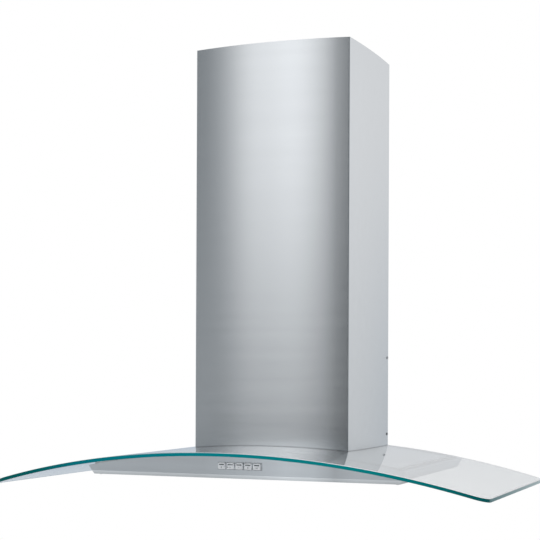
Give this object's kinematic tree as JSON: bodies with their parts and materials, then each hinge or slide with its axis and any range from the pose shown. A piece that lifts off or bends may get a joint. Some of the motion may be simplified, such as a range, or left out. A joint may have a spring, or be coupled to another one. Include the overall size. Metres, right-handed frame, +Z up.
{
  "type": "wall mount range hood",
  "caption": "Wall mount range hood with a bowed steel chimney on an arched glass canopy, push buttons, tilting grease filters, lamps and a centrifugal blower.",
  "frame": {"origin": "on the wall plane, at the middle of the four wall screw holes of the frame, on the centre line of the hood", "axes": "+X to the right as seen from the front, +Y into the wall, +Z up"},
  "size_m": [0.9, 0.5, 0.8042],
  "materials": {
    "body_steel": "fine brushed grain running across the hood",
    "chimney_steel": "fine brushed grain running up and down",
    "glass_canopy": "clear, with a polished green-blue edge",
    "zinc_sheet": "zinc-coated sheet",
    "fastener_steel": "plated",
    "screw_dark": "blackened",
    "rubber_black": "matt",
    "housing_plastic": "fine moulded grain",
    "wheel_plastic": "moulded",
    "motor_paint": "smooth grey enamel",
    "white_plastic": "moulded",
    "bezel_plastic": "fine moulded grain",
    "button_chrome": "satin chrome",
    "filter_aluminium": "natural",
    "mesh_aluminium": "expanded mesh",
    "latch_plastic": "moulded",
    "lamp_rim": "satin chrome",
    "lens_glass": "frosted",
    "reflector": "bright",
    "bulb_glass": "clear capsule"
  },
  "bodies": {
    "hood": {"body_shell": "body_steel", "underside_panel": "body_steel", "panel_screws": "body_steel", "chimney_lower_cover": "chimney_steel", "glass_canopy": "glass_canopy", "chassis_frame": "zinc_sheet", "chassis_top_plate": "zinc_sheet", "motor_bracket": "zinc_sheet", "inlet_ring_left": "zinc_sheet", "inlet_ring_right": "zinc_sheet", "glass_screws": "fastener_steel", "glass_nuts": "fastener_steel", "chassis_screws": "fastener_steel", "outlet_screws": "fastener_steel", "damper_pin": "fastener_steel", "chimney_screws": "screw_dark", "glass_gasket": "rubber_black", "glass_bushes": "rubber_black", "cable_grommet": "rubber_black", "blower_housing_left": "housing_plastic", "blower_housing_right": "housing_plastic", "outlet_collar": "housing_plastic", "motor": "motor_paint", "terminal_box": "white_plastic", "terminal_lid": "white_plastic", "lamp_transformer": "white_plastic", "switch_block": "white_plastic", "capacitor": "white_plastic", "button_bezel": "bezel_plastic", "lamp_bezel_left": "lamp_rim", "lamp_bezel_right": "lamp_rim", "lamp_lens_left": "lens_glass", "lamp_lens_right": "lens_glass", "lamp_reflector_left": "reflector", "lamp_reflector_right": "reflector", "lamp_bulb_left": "bulb_glass", "lamp_bulb_right": "bulb_glass"},
    "upper_cover": {"chimney_upper_cover": "chimney_steel", "upper_bracket": "zinc_sheet", "bracket_screws": "fastener_steel"},
    "fan": {"impeller": "wheel_plastic", "motor_shaft": "fastener_steel"},
    "damper_front": {"damper_flap_front": "housing_plastic"},
    "damper_rear": {"damper_flap_rear": "housing_plastic"},
    "filter_left": {"filter_frame_left": "filter_aluminium", "filter_mesh_left": "mesh_aluminium"},
    "filter_right": {"filter_frame_right": "filter_aluminium", "filter_mesh_right": "mesh_aluminium"},
    "latch_left": {"filter_latch_left": "latch_plastic"},
    "latch_right": {"filter_latch_right": "latch_plastic"},
    "light_key": {"button_light": "button_chrome"},
    "off_key": {"button_off": "button_chrome"},
    "speed_key_1": {"button_speed_1": "button_chrome"},
    "speed_key_2": {"button_speed_2": "button_chrome"},
    "speed_key_3": {"button_speed_3": "button_chrome"}
  },
  "joints": [
    {"name": "upper_cover_slide", "type": "slide", "parent": "hood", "child": "upper_cover", "axis": [0, 0, 1], "range_m": [0, 0.34]},
    {"name": "fan_spin", "type": "hinge", "parent": "hood", "child": "fan", "pos_m": [0, -0.105, -0.0453], "axis": [1, 0, 0], "continuous": true},
    {"name": "damper_front_hinge", "type": "hinge", "parent": "hood", "child": "damper_front", "pos_m": [0, -0.138, 0.1191], "axis": [-1, 0, 0], "range_deg": [0, 75]},
    {"name": "damper_rear_hinge", "type": "hinge", "parent": "hood", "child": "damper_rear", "pos_m": [0, -0.138, 0.1191], "axis": [1, 0, 0], "range_deg": [0, 75]},
    {"name": "filter_left_hinge", "type": "hinge", "parent": "hood", "child": "filter_left", "pos_m": [-0.132, -0.045, -0.2052], "axis": [1, 0, 0], "range_deg": [0, 60]},
    {"name": "latch_left_slide", "type": "slide", "parent": "filter_left", "child": "latch_left", "axis": [0, 1, 0], "range_m": [0, 0.005], "stiffness_N_per_m": 400, "springref_m": -0.002},
    {"name": "filter_right_hinge", "type": "hinge", "parent": "hood", "child": "filter_right", "pos_m": [0.132, -0.045, -0.2052], "axis": [1, 0, 0], "range_deg": [0, 60]},
    {"name": "latch_right_slide", "type": "slide", "parent": "filter_right", "child": "latch_right", "axis": [0, 1, 0], "range_m": [0, 0.005], "stiffness_N_per_m": 400, "springref_m": -0.002},
    {"name": "light_key_press", "type": "slide", "parent": "hood", "child": "light_key", "axis": [0, 1, 0], "range_m": [0, 0.003], "stiffness_N_per_m": 600, "springref_m": -0.001},
    {"name": "off_key_press", "type": "slide", "parent": "hood", "child": "off_key", "axis": [0, 1, 0], "range_m": [0, 0.003], "stiffness_N_per_m": 600, "springref_m": -0.001},
    {"name": "speed_key_1_press", "type": "slide", "parent": "hood", "child": "speed_key_1", "axis": [0, 1, 0], "range_m": [0, 0.003], "stiffness_N_per_m": 600, "springref_m": -0.001},
    {"name": "speed_key_2_press", "type": "slide", "parent": "hood", "child": "speed_key_2", "axis": [0, 1, 0], "range_m": [0, 0.003], "stiffness_N_per_m": 600, "springref_m": -0.001},
    {"name": "speed_key_3_press", "type": "slide", "parent": "hood", "child": "speed_key_3", "axis": [0, 1, 0], "range_m": [0, 0.003], "stiffness_N_per_m": 600, "springref_m": -0.001}
  ]
}
